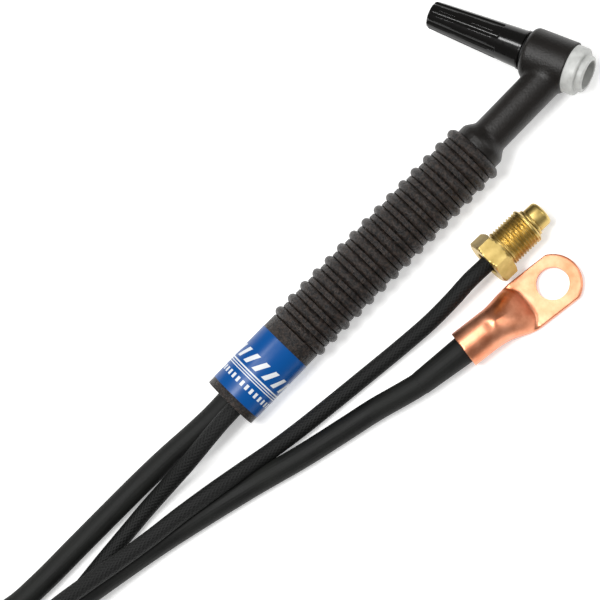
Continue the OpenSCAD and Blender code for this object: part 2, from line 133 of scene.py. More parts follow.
# Each lamp's name, place and width in metres and power in watts; all three are aimed at the handle.
lamps = (("key_lamp", (-0.3, 0.07, 1.1), 0.35, 9), ("fill_lamp", (0.8, -0.45, 0.9), 0.7, 5),
         ("strip_lamp", (-0.03, 0.49, 1.0), 0.2, 3.5))
for name, place, size, power in lamps:
    lamp_data = bpy.data.lights.new(name, "AREA")
    lamp_data.size = size
    lamp_data.energy = power
    lamp = bpy.data.objects.new(name, lamp_data)
    scene.collection.objects.link(lamp)
    lamp.location = Vector(place)
    lamp.rotation_euler = (aim - lamp.location).to_track_quat("-Z", "Y").to_euler()


# Power lead.
# Fine copper strands in an extruded rubber jacket, 9.6 mm thick and about 3.7 m long. It leaves the
# sleeve's open end, and the length that is not in use lies wound in a neat two-layer coil.
def smooth_route(points, step):
    """Points a step apart on the smooth curve through a route's own points."""
    p = np.array(points, float)
    p = np.vstack([2 * p[0] - p[1], p, 2 * p[-1] - p[-2]])
    made = []
    for i in range(1, len(p) - 2):
        knots = [0.0]
        for k in range(3):
            knots.append(knots[-1] + math.sqrt(np.linalg.norm(p[i + k] - p[i + k - 1])))
        count = max(2, int(round(np.linalg.norm(p[i + 1] - p[i]) / step)))
        for t in np.linspace(knots[1], knots[2], count, endpoint=False):
            a = [((knots[k + 1] - t) * p[i - 1 + k] + (t - knots[k]) * p[i + k]) / (knots[k + 1] - knots[k])
                 for k in range(3)]
            b = [((knots[k + 2] - t) * a[k] + (t - knots[k]) * a[k + 1]) / (knots[k + 2] - knots[k])
                 for k in range(2)]
            made.append(((knots[2] - t) * b[0] + (t - knots[1]) * b[1]) / (knots[2] - knots[1]))
    made.append(p[-2])
    return np.array(made)


def wound_coil(centre, enter, leave, turns, pitch, step):
    """A lead wound inwards on the lower layer and outwards on the upper one, from enter to leave."""
    centre = np.array(centre)
    start = math.atan2(*(np.array(enter)[:2] - centre)[::-1])
    r_in, r_out = np.linalg.norm(np.array(enter)[:2] - centre), np.linalg.norm(np.array(leave)[:2] - centre)
    total = 2 * math.pi * turns
    count = int(total * (r_in - turns * pitch / 4) / step)
    climb = math.pi
    points = []
    for k in range(1, count):
        swung = total * k / count
        half = total / 2
        if swung < half:
            radius = r_in - pitch * swung / (2 * math.pi)
        else:
            radius = r_out - pitch * (total - swung) / (2 * math.pi)
        rise = min(max((swung - half + climb / 2) / climb, 0), 1)
        z = enter[2] + (leave[2] - enter[2]) * rise * rise * (3 - 2 * rise)
        points.append((centre[0] + radius * math.cos(start + swung),
                       centre[1] + radius * math.sin(start + swung), z))
    return points


def swept_tube(name, path, radius, sides):
    """A closed tube along a path, with a UV map in millimetres round and along it."""
    path = np.array(path)
    along = np.gradient(path, axis=0)
    along /= np.linalg.norm(along, axis=1)[:, None]
    side = np.cross(along[0], (0, 0, 1))
    side /= np.linalg.norm(side)
    gone = np.concatenate([[0], np.cumsum(np.linalg.norm(np.diff(path, axis=0), axis=1))])
    angle = np.linspace(0, 2 * math.pi, sides, endpoint=False)
    rings = []
    for point, direction in zip(path, along):
        side = side - direction * (side @ direction)
        side /= np.linalg.norm(side)
        up = np.cross(side, direction)
        rings.append(point + radius * (np.cos(angle)[:, None] * side + np.sin(angle)[:, None] * up))
    count = len(path)
    grid = np.arange(count * sides).reshape(count, sides)
    nxt = np.roll(grid, -1, axis=1)
    quads = np.stack([grid[:-1], grid[1:], nxt[1:], nxt[:-1]], axis=-1).reshape(-1, 4)
    mesh = bpy.data.meshes.new(name)
    faces = quads.tolist() + [grid[0].tolist(), grid[-1][::-1].tolist()]
    mesh.from_pydata(np.concatenate(rings).tolist(), [], faces)
    uv = mesh.uv_layers.new(name="lay")
    girth = 2 * math.pi * radius / MM
    u = np.stack([np.arange(sides), np.arange(sides), np.arange(sides) + 1, np.arange(sides) + 1],
                 -1) / sides
    v = np.stack([gone[:-1], gone[1:], gone[1:], gone[:-1]], -1)[:, None, :] / MM
    uvs = np.stack([np.broadcast_to(u[None] * girth, (count - 1, sides, 4)),
                    np.broadcast_to(v, (count - 1, sides, 4))], -1).reshape(-1, 2)
    flat = np.zeros((len(mesh.loops), 2), np.float32)
    flat[:len(uvs)] = uvs
    uv.data.foreach_set("uv", flat.ravel())
    mesh.polygons.foreach_set("use_smooth", [True] * len(quads) + [False, False])
    mesh.update()
    made = bpy.data.objects.new(name, mesh)
    scene.collection.objects.link(made)
    return made, float(gone[-1])


power_d = 9.6
power_out = [(-98, -18.05, 8.75), (-109, -18.3, 8.7), (-121, -17.6, 8), (-134, -16.3, 6.7),
             (-148, -15.4, 5.4), (-166, -15, 4.9), (-186, -14.8, 4.9), (-206, -14.6, 4.9),
             (-221, -13.4, 4.9), (-234, -9, 4.9), (-246, -0.5, 4.9), (-260.7, 15.7, 4.9),
             (-276.5, 31.7, 4.9)]
power_back = [(-276.8, -79.8, 14.5), (-262, -65, 14.5), (-247.3, -50, 14.5), (-235, -38, 14.5),
              (-223.5, -32.5, 14.2), (-211, -30.8, 13), (-195, -32.5, 9.9), (-178, -35, 7),
              (-160, -38.3, 5.2), (-140, -43, 4.9), (-118, -48.7, 4.9), (-96, -55, 4.9),
              (-76.2, -59.8, 5), (-62.3, -63.2, 5.9), (-50.6, -66.9, 7.3), (-42.5, -69.2, 7.9),
              (-31.6, -70.8, 7.9), (-20.7, -72.3, 7.9)]
coil_centre = (-333, -24)
lead_step = 2.5
power_turns, power_pitch = 8.752, 9.7
power_coil = wound_coil(coil_centre, power_out[-1], power_back[0], power_turns, power_pitch, lead_step)
power_path = MM * np.vstack([smooth_route(power_out, lead_step), power_coil,
                             smooth_route(power_back, lead_step)])
power_lead, power_length = swept_tube("power_cable", power_path, power_d / 2 * MM, sides=40)

# Extruded rubber: matt black with a faint bloom, fine drawn lines along it and small rubbed patches.
jacket, tree, shader = start_material("extruded_rubber", "121312", 0.62, Specular_IOR_Level=0.25)
place = add_node(tree, "ShaderNodeUVMap", {"uv_map": "lay"})
line_width, line_length, grain_width, patch_width = 0.62, 20.0, 1.1, 18.0
drawn = add_node(tree, "ShaderNodeMapping", inputs={"Scale": (1 / line_width, 1 / line_length, 1)},
                 links={"Vector": place.outputs[0]})
lines = add_node(tree, "ShaderNodeTexNoise", inputs={"Scale": 1.0, "Detail": 4.0},
                 links={"Vector": drawn.outputs[0]})
body_place = add_node(tree, "ShaderNodeTexCoord")
grain = add_node(tree, "ShaderNodeTexNoise", inputs={"Scale": 1 / (grain_width * MM), "Detail": 3.0},
                 links={"Vector": body_place.outputs["Object"]})
rubbed = add_node(tree, "ShaderNodeTexNoise", inputs={"Scale": 1 / (patch_width * MM), "Detail": 5.0},
                  links={"Vector": body_place.outputs["Object"]})
tone = add_node(tree, "ShaderNodeValToRGB", links={"Fac": rubbed.outputs["Fac"]})
tone.color_ramp.elements[0].position = 0.35
tone.color_ramp.elements[0].color = linear("0b0c0b")
tone.color_ramp.elements[1].position = 0.7
tone.color_ramp.elements[1].color = linear("191a18")
tree.links.new(tone.outputs[0], shader.inputs["Base Color"])
gloss = add_node(tree, "ShaderNodeMapRange", inputs={"To Min": 0.5, "To Max": 0.74},
                 links={"Value": rubbed.outputs["Fac"]})
tree.links.new(gloss.outputs[0], shader.inputs["Roughness"])
grain_bump = add_node(tree, "ShaderNodeBump", inputs={"Strength": 0.35, "Distance": 0.00025},
                      links={"Height": grain.outputs["Fac"]})
line_bump = add_node(tree, "ShaderNodeBump", inputs={"Strength": 0.5, "Distance": 0.0003},
                     links={"Height": lines.outputs["Fac"], "Normal": grain_bump.outputs[0]})
tree.links.new(line_bump.outputs[0], shader.inputs["Normal"])
power_lead.data.materials.append(jacket)
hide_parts("power_cable_out", "power_cable_coil", "power_cable_back", "power_cable_tail")
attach(power_lead, "torch")

# Gas hose.
# A rubber tube 6.8 mm thick under a tight black braid, about 3.8 m long. It leaves the sleeve above
# the power lead, crosses it in a long low hump and is wound on top of the other coil.
hose_d = 6.8
hose_out = [(-98, -24.15, 17.4), (-109, -24.4, 17.3), (-119, -24.8, 15.6), (-131, -25, 12),
            (-144, -24.6, 7.6), (-156, -24.5, 4.5), (-168, -25.2, 3.5), (-182, -26.3, 3.5),
            (-195, -27.5, 3.5), (-205, -28.2, 3.8), (-215, -27.6, 6), (-225.5, -24.2, 11),
            (-234.5, -19, 15.4), (-244.5, -11.2, 20.4), (-253.5, -3, 22.8), (-265.5, 7, 22.8),
            (-279, 17.8, 22.8), (-292.7, 28.3, 22.8)]
hose_back = [(-294, -77.5, 29.7), (-279, -66.4, 28.6), (-264.5, -55.6, 26.8), (-251, -45.4, 25),
             (-239.5, -36.6, 23.4), (-229.5, -30.7, 22.4), (-219, -28.4, 21.6), (-207, -29, 20.3),
             (-192, -31, 17.8), (-177, -33.4, 15.2), (-162, -35.6, 13.3), (-147, -37.5, 12.2),
             (-132, -39.8, 11), (-117, -42.3, 8.9), (-103, -44.6, 6), (-88, -46.6, 4),
             (-72, -48.5, 3.5), (-55, -50.5, 3.5), (-38, -52.6, 4.3), (-22, -54.4, 6.4), (-9, -55, 8.9)]
nut_joint = next(joint for joint in frame["joints"] if joint["name"] == "gas_nut_spin")
nut_start = Vector(nut_joint["pos_m"])
nut_axis = Vector(nut_joint["axis"]).normalized()
before_nut, inside_nut = -10, 8.5
hose_back += [tuple((nut_start + nut_axis * reach * MM) / MM) for reach in (before_nut, 0, inside_nut)]
hose_turns, hose_pitch = 10.704, 6.9
hose_coil = wound_coil(coil_centre, hose_out[-1], hose_back[0], hose_turns, hose_pitch, lead_step)
braid_step = 0.8
hose_path = MM * np.vstack([smooth_route(hose_out, braid_step), hose_coil,
                            smooth_route(hose_back, braid_step)])
hose, hose_length = swept_tube("gas_hose", hose_path, hose_d / 2 * MM, sides=32)

# Braided yarn: fifteen black strands each way, crossing over each other in diamonds. They lie about
# 1.2 mm apart, a little coarser than life so that they show, and painted shade darkens the hollows between them.
braid, tree, shader = start_material("braided_yarn", "111111", 0.6, Specular_IOR_Level=0.22)
place = add_node(tree, "ShaderNodeUVMap", {"uv_map": "lay"})
split = add_node(tree, "ShaderNodeSeparateXYZ", links={"Vector": place.outputs[0]})
strand_count, strand_lean = 15, 0.62
strand_pitch = math.pi * hose_d / strand_count
waves = []
for lean in (1, -1):
    slant = add_node(tree, "ShaderNodeMath", {"operation": "MULTIPLY_ADD"}, {1: strand_lean * lean},
                     {0: split.outputs["Y"], 2: split.outputs["X"]})
    phase = add_node(tree, "ShaderNodeMath", {"operation": "MULTIPLY"}, {1: 2 * math.pi / strand_pitch},
                     {0: slant.outputs[0]})
    waves.append(add_node(tree, "ShaderNodeMath", {"operation": "SINE"}, links={0: phase.outputs[0]}))
over = add_node(tree, "ShaderNodeMath", {"operation": "MAXIMUM"},
                links={0: waves[0].outputs[0], 1: waves[1].outputs[0]})
fuzz_width = 0.67
fuzz_place = add_node(tree, "ShaderNodeTexCoord")
fuzz = add_node(tree, "ShaderNodeTexNoise", inputs={"Scale": 1 / (fuzz_width * MM), "Detail": 4.0},
                links={"Vector": fuzz_place.outputs["Object"]})
height = add_node(tree, "ShaderNodeMath", {"operation": "MULTIPLY_ADD"}, {1: 0.5},
                  {0: fuzz.outputs["Fac"], 2: over.outputs[0]})
# Painted shade: the colour follows the braid's height, darker in the hollows between strands, with random fuzz in
# the tone.
tone = add_node(tree, "ShaderNodeValToRGB", links={"Fac": height.outputs[0]})
tone.color_ramp.elements[0].position = 0.1
tone.color_ramp.elements[0].color = linear("090909")
tone.color_ramp.elements[1].position = 1.0
tone.color_ramp.elements[1].color = linear("161716")
tree.links.new(tone.outputs[0], shader.inputs["Base Color"])
yarn_bump = add_node(tree, "ShaderNodeBump", inputs={"Strength": 0.4, "Distance": 0.00025},
                     links={"Height": height.outputs[0]})
tree.links.new(yarn_bump.outputs[0], shader.inputs["Normal"])
hose.data.materials.append(braid)
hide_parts("gas_hose_out", "gas_hose_coil", "gas_hose_back", "gas_hose_tail")
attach(hose, "torch")
for inner, covering in (("power_cable_entry", jacket), ("gas_hose_entry", braid)):
    frame["nodes"][inner].data.materials.clear()
    frame["nodes"][inner].data.materials.append(covering)

# Handle sleeve.
# One thick-walled sleeve moulded in a dark phenolic with a rough mould surface. Half-round grip ribs
# run round it, each with a thin parting groove on both sides, and the cable end is left smooth.
def softened(outline, radius):
    """The outline with each corner replaced by a short curve."""
    points = [np.array(p, float) for p in outline]
    made = []
    for before, corner, after in zip(points[-1:] + points[:-1], points, points[1:] + points[:1]):
        reach = min(radius, np.linalg.norm(before - corner) * 0.45, np.linalg.norm(after - corner) * 0.45)
        if reach < 1e-6 or corner[1] < 1e-6:
            made.append(corner)
            continue
        start = corner + (before - corner) / np.linalg.norm(before - corner) * reach
        end = corner + (after - corner) / np.linalg.norm(after - corner) * reach
        for t in (0, 0.33, 0.67, 1):
            made.append((1 - t) ** 2 * start + 2 * t * (1 - t) * corner + t * t * end)
    return made


def turned(name, outline, origin, axis, segments=128, shape=None, crease=32):
    """A solid turned about an axis from a closed outline of (distance along it, radius) in
    millimetres, with a UV map in millimetres; shape may change the radius round the axis."""
    outline = np.array(outline, float)
    axis = Vector(axis).normalized()
    side = axis.cross(Vector((0, 0, 1))).normalized()
    up = side.cross(axis)
    angle = np.linspace(0, 2 * math.pi, segments, endpoint=False)
    z = outline[:, 0][:, None] * np.ones(segments)
    r = outline[:, 1][:, None] * np.ones(segments)
    if shape:
        z, r = shape(z, r, angle[None, :] * np.ones_like(z))
    points = (np.array(origin) + MM * (z[..., None] * np.array(axis) + r[..., None] * (
        np.cos(angle)[None, :, None] * np.array(side) + np.sin(angle)[None, :, None] * np.array(up))))
    count = len(outline)
    grid = np.arange(count * segments).reshape(count, segments)
    below, above = grid, np.roll(grid, -1, axis=0)
    if outline[0, 1] < 1e-6 and outline[-1, 1] < 1e-6:
        below, above = grid[:-1], grid[1:]
    quads = np.stack([below, above, np.roll(above, -1, axis=1), np.roll(below, -1, axis=1)],
                     -1).reshape(-1, 4)
    mesh = bpy.data.meshes.new(name)
    mesh.from_pydata(points.reshape(-1, 3).tolist(), [], quads.tolist())
    uv = mesh.uv_layers.new(name="lay")
    flat_z, girth = z.ravel(), 2 * math.pi * outline[:, 1].max() / segments
    column = np.tile(np.arange(segments), count)
    corners = np.zeros((len(quads), 4, 2), np.float32)
    for k in range(4):
        corners[:, k, 0] = girth * (column[quads[:, 0]] + (k in (2, 3)))
        corners[:, k, 1] = flat_z[quads[:, k]]
    uv.data.foreach_set("uv", corners.ravel())
    shell = bmesh.new()
    shell.from_mesh(mesh)
    bmesh.ops.remove_doubles(shell, verts=shell.verts, dist=1e-6)
    bmesh.ops.recalc_face_normals(shell, faces=shell.faces)
    shell.to_mesh(mesh)
    shell.free()
    mesh.polygons.foreach_set("use_smooth", [True] * len(mesh.polygons))
    mesh.set_sharp_from_angle(angle=math.radians(crease))
    made = bpy.data.objects.new(name, mesh)
    scene.collection.objects.link(made)
    return made


def finish_piece(piece, material, slot, body, *nodes):
    """Gives a piece its material and body and hides the CAD nodes that it stands for. The slot argument is not
    used.
    """
    piece.data.materials.append(material)
    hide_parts(*nodes)
    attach(piece, body)


handle_x = Vector((1, 0, 0))
sleeve_start = Vector((handle_low.x, axis_y, axis_z))
sleeve_l = 141.0
sleeve_r = 11.8
sleeve_bore_r = 9.9
rib_count = 15
rib_pitch = 7.03
rib_inset = 2.2
rib_r = 2.1
rib_h = 1.3
groove_w = 0.52
groove_depth = 0.5
rim_l, rim_round = 3.2, 0.35
rim = softened([(0, sleeve_bore_r), (0, sleeve_r), (rim_l, sleeve_r)], rim_round)
outline = rim[:-4] + [(rim_l, sleeve_r)]
half_rib = math.sqrt(rib_r ** 2 - (rib_r - rib_h) ** 2)
rib_steps = 5
for k in reversed(range(rib_count)):
    middle = sleeve_l - rib_inset - k * rib_pitch
    open_end = min(middle + half_rib + groove_w, sleeve_l)
    outline += [(middle - half_rib - groove_w, sleeve_r),
                (middle - half_rib - 0.5 * groove_w, sleeve_r - groove_depth)]
    for step in range(2 * rib_steps + 1):
        lean = math.asin(half_rib / rib_r) * (step / rib_steps - 1)
        outline.append((middle + rib_r * math.sin(lean), sleeve_r + rib_h - rib_r + rib_r * math.cos(lean)))
    if open_end < sleeve_l - 0.1:
        outline += [(middle + half_rib + 0.5 * groove_w, sleeve_r - groove_depth), (open_end, sleeve_r)]
outline += [(sleeve_l, sleeve_r - 0.2), (sleeve_l, sleeve_bore_r)]
ribbed_from, mould_waviness = 38, 0.05


def rough_moulding(z, r, angle):
    """Small unevenness of the mould, on the ribbed length only."""
    amount = np.where((z > ribbed_from) & (r > sleeve_bore_r + 0.5), mould_waviness, 0.0)
    wave = np.sin(5 * angle + 0.9 * z) + np.sin(13 * angle - 1.7 * z) + np.sin(29 * angle + 2.3 * z)
    return z, r + amount * wave / 3


sleeve = turned("handle_sleeve", outline, sleeve_start, handle_x, segments=160,
                shape=rough_moulding, crease=50)

# Moulded phenolic: near black with a warm cast and pebbled by the mould. The pebbles are drawn 1.3 mm
# wide, coarser than life, so that they show; the gloss changes over patches a few millimetres wide.
phenolic, tree, shader = start_material("moulded_phenolic", "14100d", 0.4, Specular_IOR_Level=0.38)
place = add_node(tree, "ShaderNodeTexCoord")
pebble_width, patch_width = 1.3, 6.2
pebble = add_node(tree, "ShaderNodeTexNoise",
                  inputs={"Scale": 1 / (pebble_width * MM), "Detail": 4.0, "Roughness": 0.7},
                  links={"Vector": place.outputs["Object"]})
patch = add_node(tree, "ShaderNodeTexNoise", inputs={"Scale": 1 / (patch_width * MM), "Detail": 4.0},
                 links={"Vector": place.outputs["Object"]})
tone = add_node(tree, "ShaderNodeValToRGB", links={"Fac": pebble.outputs["Fac"]})
tone.color_ramp.elements[0].position = 0.42
tone.color_ramp.elements[0].color = linear("030202")
tone.color_ramp.elements[1].position = 0.62
tone.color_ramp.elements[1].color = linear("342a24")
tree.links.new(tone.outputs[0], shader.inputs["Base Color"])
gloss = add_node(tree, "ShaderNodeMapRange", inputs={"To Min": 0.3, "To Max": 0.5},
                 links={"Value": patch.outputs["Fac"]})
tree.links.new(gloss.outputs[0], shader.inputs["Roughness"])
bump = add_node(tree, "ShaderNodeBump", inputs={"Strength": 0.9, "Distance": 0.0009},
                links={"Height": pebble.outputs["Fac"]})
tree.links.new(bump.outputs[0], shader.inputs["Normal"])
finish_piece(sleeve, phenolic, "handle_plastic", "torch", "handle")

# Label band.
# A printed film wrapped round the smooth end: blue, with three fine white rings, a row of upright
# white dashes and a row of slanted ones in place of any wording.
label_start, label_l, label_t = 3.4, 28.3, 0.15
label_end, label_in, label_out = label_start + label_l, sleeve_r + 0.01, sleeve_r + label_t
label_outline = softened([(label_start, label_in), (label_start, label_out), (label_end, label_out),
                          (label_end, label_in)], 0.05)
label = turned("label_film", label_outline, sleeve_start, handle_x, segments=160)
film, tree, shader = start_material("printed_film", "024486", 0.32, Specular_IOR_Level=0.25)
place = add_node(tree, "ShaderNodeUVMap", {"uv_map": "lay"})
split = add_node(tree, "ShaderNodeSeparateXYZ", links={"Vector": place.outputs[0]})
label_girth = 2 * math.pi * label_out
# Each printed row's two edges along the film, its number of dashes, their share of it and their slope.
printed_rows = ((9.1, 9.5, 0, 0, 0), (10.1, 10.5, 0, 0, 0), (11.1, 11.7, 0, 0, 0),
                (4.9, 7.2, 30, 0.5, 0.0), (13.0, 18.6, 14, 0.42, 0.55))
ink = None
for low, high, count, share, slope in printed_rows:
    height = add_node(tree, "ShaderNodeMath", {"operation": "SUBTRACT"},
                      {1: label_start + (low + high) / 2},
                      {0: split.outputs["Y"]})
    away = add_node(tree, "ShaderNodeMath", {"operation": "ABSOLUTE"}, links={0: height.outputs[0]})
    row = add_node(tree, "ShaderNodeMath", {"operation": "LESS_THAN"}, {1: (high - low) / 2},
                   {0: away.outputs[0]})
    if count:
        lean = add_node(tree, "ShaderNodeMath", {"operation": "MULTIPLY_ADD"}, {1: slope},
                        {0: height.outputs[0], 2: split.outputs["X"]})
        turns = add_node(tree, "ShaderNodeMath", {"operation": "MULTIPLY"}, {1: count / label_girth},
                         {0: lean.outputs[0]})
        part = add_node(tree, "ShaderNodeMath", {"operation": "FRACT"}, links={0: turns.outputs[0]})
        dash = add_node(tree, "ShaderNodeMath", {"operation": "LESS_THAN"}, {1: share},
                        {0: part.outputs[0]})
        row = add_node(tree, "ShaderNodeMath", {"operation": "MULTIPLY"},
                       links={0: row.outputs[0], 1: dash.outputs[0]})
    ink = row if ink is None else add_node(tree, "ShaderNodeMath", {"operation": "MAXIMUM"},
                                           links={0: ink.outputs[0], 1: row.outputs[0]})
print_mix = add_node(tree, "ShaderNodeMix", {"data_type": "RGBA"}, links={0: ink.outputs[0]})
print_mix.inputs[6].default_value = linear("00488a")
print_mix.inputs[7].default_value = linear("d3d6d9")
tree.links.new(print_mix.outputs[2], shader.inputs["Base Color"])
crease_width = 8.3
creases = add_node(tree, "ShaderNodeTexNoise", inputs={"Scale": 1 / crease_width, "Detail": 3.0},
                   links={"Vector": place.outputs[0]})
bump = add_node(tree, "ShaderNodeBump", inputs={"Strength": 0.25, "Distance": 0.0004},
                links={"Height": creases.outputs["Fac"]})
tree.links.new(bump.outputs[0], shader.inputs["Normal"])
finish_piece(label, film, "label_film", "torch", "label_band")

# Head and neck.
# Collar, neck and head barrel are moulded in one piece over the brass core and its copper tube. The
# neck runs into the barrel with a small fillet, and the barrel's rear edge is rounded.
cap_joint = next(joint for joint in frame["joints"] if joint["name"] == "cap_turn")
head_centre = Vector(cap_joint["pos_m"])
nozzle = -Vector(cap_joint["axis"]).normalized()
neck_r, collar_r, collar_l, flare_l = 7.65, 10.3, 3.0, 5.5
spigot_l, spigot_r, flare_steps = 2, collar_r - 1, 8
barrel_r, barrel_front, barrel_back, barrel_round = 10.7, 4.65, 14.25, 2.2
neck_reach = (head_centre.x - sleeve_start.x) / MM - sleeve_l
fillet, front_round, rear_from = 1.6, 0.25, -4
rough_outline = [(-spigot_l, 0), (-spigot_l, spigot_r), (0, spigot_r), (0, collar_r),
                 (collar_l, collar_r)]
rough_outline += [(collar_l + flare_l * k / flare_steps,
                   neck_r + (collar_r - neck_r) * (1 + math.cos(math.pi * k / flare_steps)) / 2)
                  for k in range(1, flare_steps + 1)]
rough_outline += [(neck_reach - 3, neck_r), (neck_reach - 3, 0)]
collar_start = sleeve_start + handle_x * sleeve_l * MM
neck = turned("head_moulding_outer", rough_outline, collar_start, handle_x, segments=96)
rough_outline = [(-barrel_back, 0), (-barrel_back, barrel_r), (barrel_front, barrel_r), (barrel_front, 0)]
barrel = turned("barrel_rough", rough_outline, head_centre, nozzle, segments=96)
shell = bmesh.new()
shell.from_mesh(neck.data)
shell.from_mesh(barrel.data)
shell.to_mesh(neck.data)
shell.free()
bpy.data.objects.remove(barrel)


def applied(piece):
    """Turns a piece's modifiers into its mesh."""
    made = bpy.data.meshes.new_from_object(piece.evaluated_get(bpy.context.evaluated_depsgraph_get()))
    piece.modifiers.clear()
    piece.data = made


neck_voxel = 0.42 * MM
voxels = neck.modifiers.new("voxels", "REMESH")
voxels.mode = "VOXEL"
voxels.voxel_size = neck_voxel
voxels.use_smooth_shade = True
applied(neck)


def moulded_skin(p):
    """Distance from a point to the moulding's surface, negative inside, in millimetres."""
    from_collar = (p - np.array(sleeve_start)) / MM
    x = from_collar[:, 0] - sleeve_l
    out = np.hypot(from_collar[:, 1], from_collar[:, 2])
    t = np.clip((x - collar_l) / flare_l, 0, 1)
    neck_skin = out - (neck_r + (collar_r - neck_r) * (1 + np.cos(math.pi * t)) / 2)
    rim = np.stack([out - collar_r, -x], 1)
    near_collar = np.minimum(rim.max(1), 0) + np.linalg.norm(np.maximum(rim, 0), axis=1)
    neck_skin = np.where(x < collar_l, near_collar, neck_skin)
    neck_skin = np.maximum(neck_skin, x - neck_reach)
    from_head = (p - np.array(head_centre)) / MM
    t = from_head @ np.array(nozzle)
    out = np.linalg.norm(from_head - t[:, None] * np.array(nozzle), axis=1)
    edge = np.where(t < rear_from, barrel_round, front_round)
    middle, half = (barrel_front - barrel_back) / 2, (barrel_front + barrel_back) / 2
    corner = np.stack([out - (barrel_r - edge), np.abs(t - middle) - (half - edge)], 1)
    barrel_skin = np.minimum(corner.max(1), 0) + np.linalg.norm(np.maximum(corner, 0), axis=1) - edge
    joined = np.maximum(fillet - np.abs(neck_skin - barrel_skin), 0) / fillet
    return np.minimum(neck_skin, barrel_skin) - joined ** 2 * fillet / 4


# Each point past the collar's face is moved onto that surface in a few short steps.
settle_passes, nudge, face_gap = 10, 0.01, 0.25
spots = np.array([v.co for v in neck.data.vertices], float)
free = spots[:, 0] > sleeve_start.x + (sleeve_l + face_gap) * MM
for _ in range(settle_passes):
    here = moulded_skin(spots)
    slope = np.stack([(moulded_skin(spots + nudge * MM * np.eye(3)[k]) - here) / nudge
                      for k in range(3)], 1)
    length = np.maximum(np.linalg.norm(slope, axis=1), 0.3)
    spots[free] -= (np.clip(here, -0.6, 0.6) / length ** 2)[free, None] * slope[free] * MM
neck.data.vertices.foreach_set("co", spots.astype(np.float32).ravel())
neck.data.update()

core_r, core_front, core_back, stem_hole_r, seat_r = 8.3, 1.65, 12.25, 5.6, 7.5
hollow_back, hollow_front = -20, 8
hollow_outline = [(hollow_back, 0), (hollow_back, stem_hole_r), (-core_back, stem_hole_r),
                  (-core_back, core_r), (core_front, core_r), (core_front, seat_r),
                  (hollow_front, seat_r), (hollow_front, 0)]
hollow = turned("hollow", hollow_outline, head_centre, nozzle, segments=96)
cut = neck.modifiers.new("cut", "BOOLEAN")
cut.operation = "DIFFERENCE"
cut.object = hollow
cut.solver = "EXACT"
applied(neck)
bpy.data.objects.remove(hollow)
neck.data.polygons.foreach_set("use_smooth", [True] * len(neck.data.polygons))
neck.data.set_sharp_from_angle(angle=math.radians(40))

# The same phenolic, but from a polished mould: a smooth semi-gloss skin with a very fine grain.
smooth_phenolic, tree, shader = start_material("smooth_phenolic", "110e0c", 0.38, Specular_IOR_Level=0.32)
place = add_node(tree, "ShaderNodeTexCoord")
grain_width, cloud_width = 0.7, 14.0
grain = add_node(tree, "ShaderNodeTexNoise", inputs={"Scale": 1 / (grain_width * MM), "Detail": 3.0},
                 links={"Vector": place.outputs["Object"]})
cloud = add_node(tree, "ShaderNodeTexNoise", inputs={"Scale": 1 / (cloud_width * MM), "Detail": 4.0},
                 links={"Vector": place.outputs["Object"]})
tone = add_node(tree, "ShaderNodeValToRGB", links={"Fac": cloud.outputs["Fac"]})
tone.color_ramp.elements[0].color = linear("0b0908")
tone.color_ramp.elements[1].color = linear("17130f")
tree.links.new(tone.outputs[0], shader.inputs["Base Color"])
gloss = add_node(tree, "ShaderNodeMapRange", inputs={"To Min": 0.34, "To Max": 0.5},
                 links={"Value": cloud.outputs["Fac"]})
tree.links.new(gloss.outputs[0], shader.inputs["Roughness"])
bump = add_node(tree, "ShaderNodeBump", inputs={"Strength": 0.5, "Distance": 0.0003},
                links={"Height": grain.outputs["Fac"]})
tree.links.new(bump.outputs[0], shader.inputs["Normal"])
finish_piece(neck, smooth_phenolic, "head_plastic", "torch", "head_moulding")

# Cup gasket.
# A stepped white ring turned from a fluoropolymer. Its wide ring seats the ceramic cup, its narrow
# nose centres it, and the surface is waxy and lets a little light in.
gasket_bore_r, spigot_fit_r, gasket_gap = 6.1, 7.45, 0.02
ring_end, nose_end = 9.85, 12.65
gasket_back, ring_back = core_front + gasket_gap, barrel_front + gasket_gap
gasket_outline = softened([(gasket_back, gasket_bore_r), (gasket_back, spigot_fit_r),
                           (ring_back, spigot_fit_r), (ring_back, 9.9), (barrel_front + 0.5, 10.1),
                           (9.35, 10.0), (ring_end, 9.5), (ring_end, 7.8), (12.15, 7.75),
                           (nose_end, 7.2), (nose_end, gasket_bore_r)], 0.3)
gasket = turned("gasket_ring", gasket_outline, head_centre, nozzle, crease=60)
waxy, tree, shader = start_material("white_fluoropolymer", "bfc2c0", 0.42, Subsurface_Weight=0.12,
                                    Subsurface_Scale=0.0015, Subsurface_Radius=(1, 1, 1))
place = add_node(tree, "ShaderNodeTexCoord")
cloud_width = 3.8
cloud = add_node(tree, "ShaderNodeTexNoise", inputs={"Scale": 1 / (cloud_width * MM), "Detail": 4.0},
                 links={"Vector": place.outputs["Object"]})
tone = add_node(tree, "ShaderNodeValToRGB", links={"Fac": cloud.outputs["Fac"]})
tone.color_ramp.elements[0].position = 0.3
tone.color_ramp.elements[0].color = linear("a6a7a4")
tone.color_ramp.elements[1].position = 0.7
tone.color_ramp.elements[1].color = linear("c4c5c2")
tree.links.new(tone.outputs[0], shader.inputs["Base Color"])
bump = add_node(tree, "ShaderNodeBump", inputs={"Strength": 0.25, "Distance": 0.0002},
                links={"Height": cloud.outputs["Fac"]})
tree.links.new(bump.outputs[0], shader.inputs["Normal"])
finish_piece(gasket, waxy, "gasket_white", "torch", "cup_gasket")

# Back cap.
# The long cap that closes the head behind the electrode, moulded in a glossy phenolic. Shallow grip
# flutes start a little way from the base and run out over the slightly domed tip.
cap_start = barrel_back + 1.1
cap_l, cap_base_r, cap_tip_r = 42.5, 8.0, 5.75
flute_start, flute_count, flute_r, flute_depth, flute_run = 10.5, 8, 1.6, 0.62, 0.4


